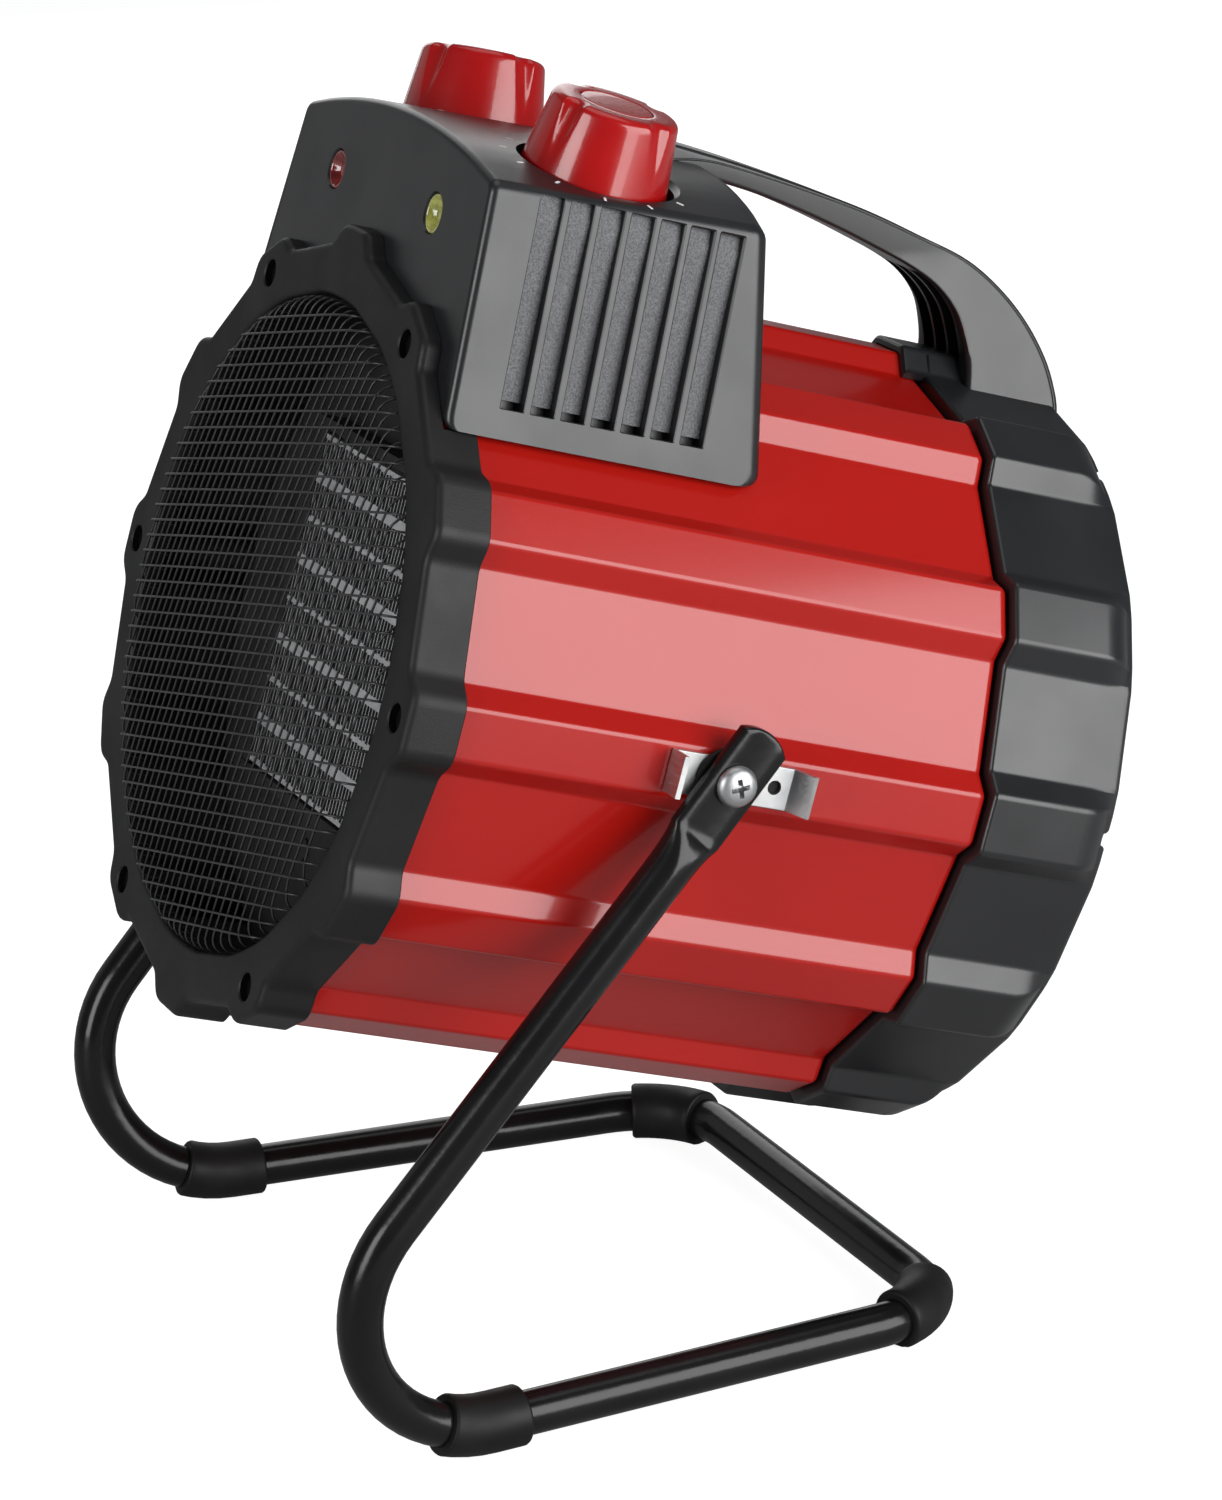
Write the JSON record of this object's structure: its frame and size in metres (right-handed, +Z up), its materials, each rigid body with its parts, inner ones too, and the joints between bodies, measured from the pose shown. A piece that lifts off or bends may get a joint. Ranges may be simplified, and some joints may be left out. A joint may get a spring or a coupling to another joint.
{
  "type": "portable ceramic fan heater",
  "caption": "Portable electric heater: a fluted metal barrel with a wire front grille, top control box with knobs and a carry handle, tilting on a bent tube stand.",
  "frame": {"origin": "floor level under the middle of the footprint", "axes": "+Z up, -Y towards the warm air outlet at the front, +X to the side with the heat selector"},
  "size_m": [0.2428, 0.2724, 0.3554],
  "materials": {
    "stand_paint": "gloss black paint",
    "foot_rubber": "matte black rubber",
    "barrel_paint": "gloss red paint",
    "black_plastic": "satin black moulded plastic with a fine grain",
    "grille_paint": "satin black paint on wire",
    "frame_metal": "heat-proof matte black",
    "fin_metal": "bare aluminium",
    "insulator": "matte off-white ceramic",
    "terminal_brass": "bare brass",
    "black_trim": "matte black",
    "zinc": "bright zinc plate",
    "motor_steel": "dull grey",
    "fan_metal": "pressed sheet aluminium",
    "knob_red": "gloss red plastic",
    "red_lens": "clear red plastic",
    "amber_lens": "clear yellow-green plastic"
  },
  "bodies": {
    "stand": {"stand_tube": "stand_paint", "front_left_foot": "foot_rubber", "front_right_foot": "foot_rubber", "rear_left_foot": "foot_rubber", "rear_right_foot": "foot_rubber"},
    "heater": {"barrel_shell": "barrel_paint", "front_ring": "black_plastic", "rear_cover": "black_plastic", "control_box": "black_plastic", "handle": "black_plastic", "front_grille": "grille_paint", "element_frame": "frame_metal", "fan_shroud": "frame_metal", "heating_fins": "fin_metal", "heating_bars": "fin_metal", "element_end_blocks": "insulator", "thermostat_body": "insulator", "selector_body": "insulator", "element_terminals": "terminal_brass", "thermal_cutout": "black_trim", "lamp_holders": "black_trim", "cord_gland": "black_trim", "left_washer": "black_trim", "right_washer": "black_trim", "ring_screws": "zinc", "cutout_rivets": "zinc", "motor_mount": "zinc", "mount_screws": "zinc", "cover_screws": "zinc", "handle_screws": "zinc", "thermostat_nut": "zinc", "selector_nut": "zinc", "left_pivot_screw": "zinc", "right_pivot_screw": "zinc", "left_pivot_nut": "zinc", "right_pivot_nut": "zinc", "left_bracket": "zinc", "right_bracket": "zinc", "fan_motor": "motor_steel", "power_lens": "red_lens", "warning_lens": "amber_lens"},
    "thermostat_dial": {"thermostat_shaft": "zinc", "thermostat_knob": "knob_red", "thermostat_cap": "knob_red"},
    "selector_dial": {"selector_shaft": "zinc", "selector_knob": "knob_red", "selector_cap": "knob_red"},
    "fan_rotor": {"motor_shaft": "zinc", "fan": "fan_metal"}
  },
  "joints": [
    {"name": "tilt", "type": "hinge", "parent": "stand", "child": "heater", "pos_m": [0, -0.01325, 0.1806], "axis": [-1, 0, 0], "range_deg": [-8, 75]},
    {"name": "thermostat_turn", "type": "hinge", "parent": "heater", "child": "thermostat_dial", "pos_m": [-0.043, -0.0176, 0.32889], "axis": [-0.1536, 0.2955, 0.9429], "range_deg": [0, 300]},
    {"name": "selector_turn", "type": "hinge", "parent": "heater", "child": "selector_dial", "pos_m": [0.043, -0.0176, 0.32889], "axis": [0.1536, 0.2955, 0.9429], "range_deg": [0, 270]},
    {"name": "fan_spin", "type": "hinge", "parent": "heater", "child": "fan_rotor", "pos_m": [0, 0.04038, 0.16379], "axis": [0, 0.9542, -0.299], "continuous": true}
  ]
}
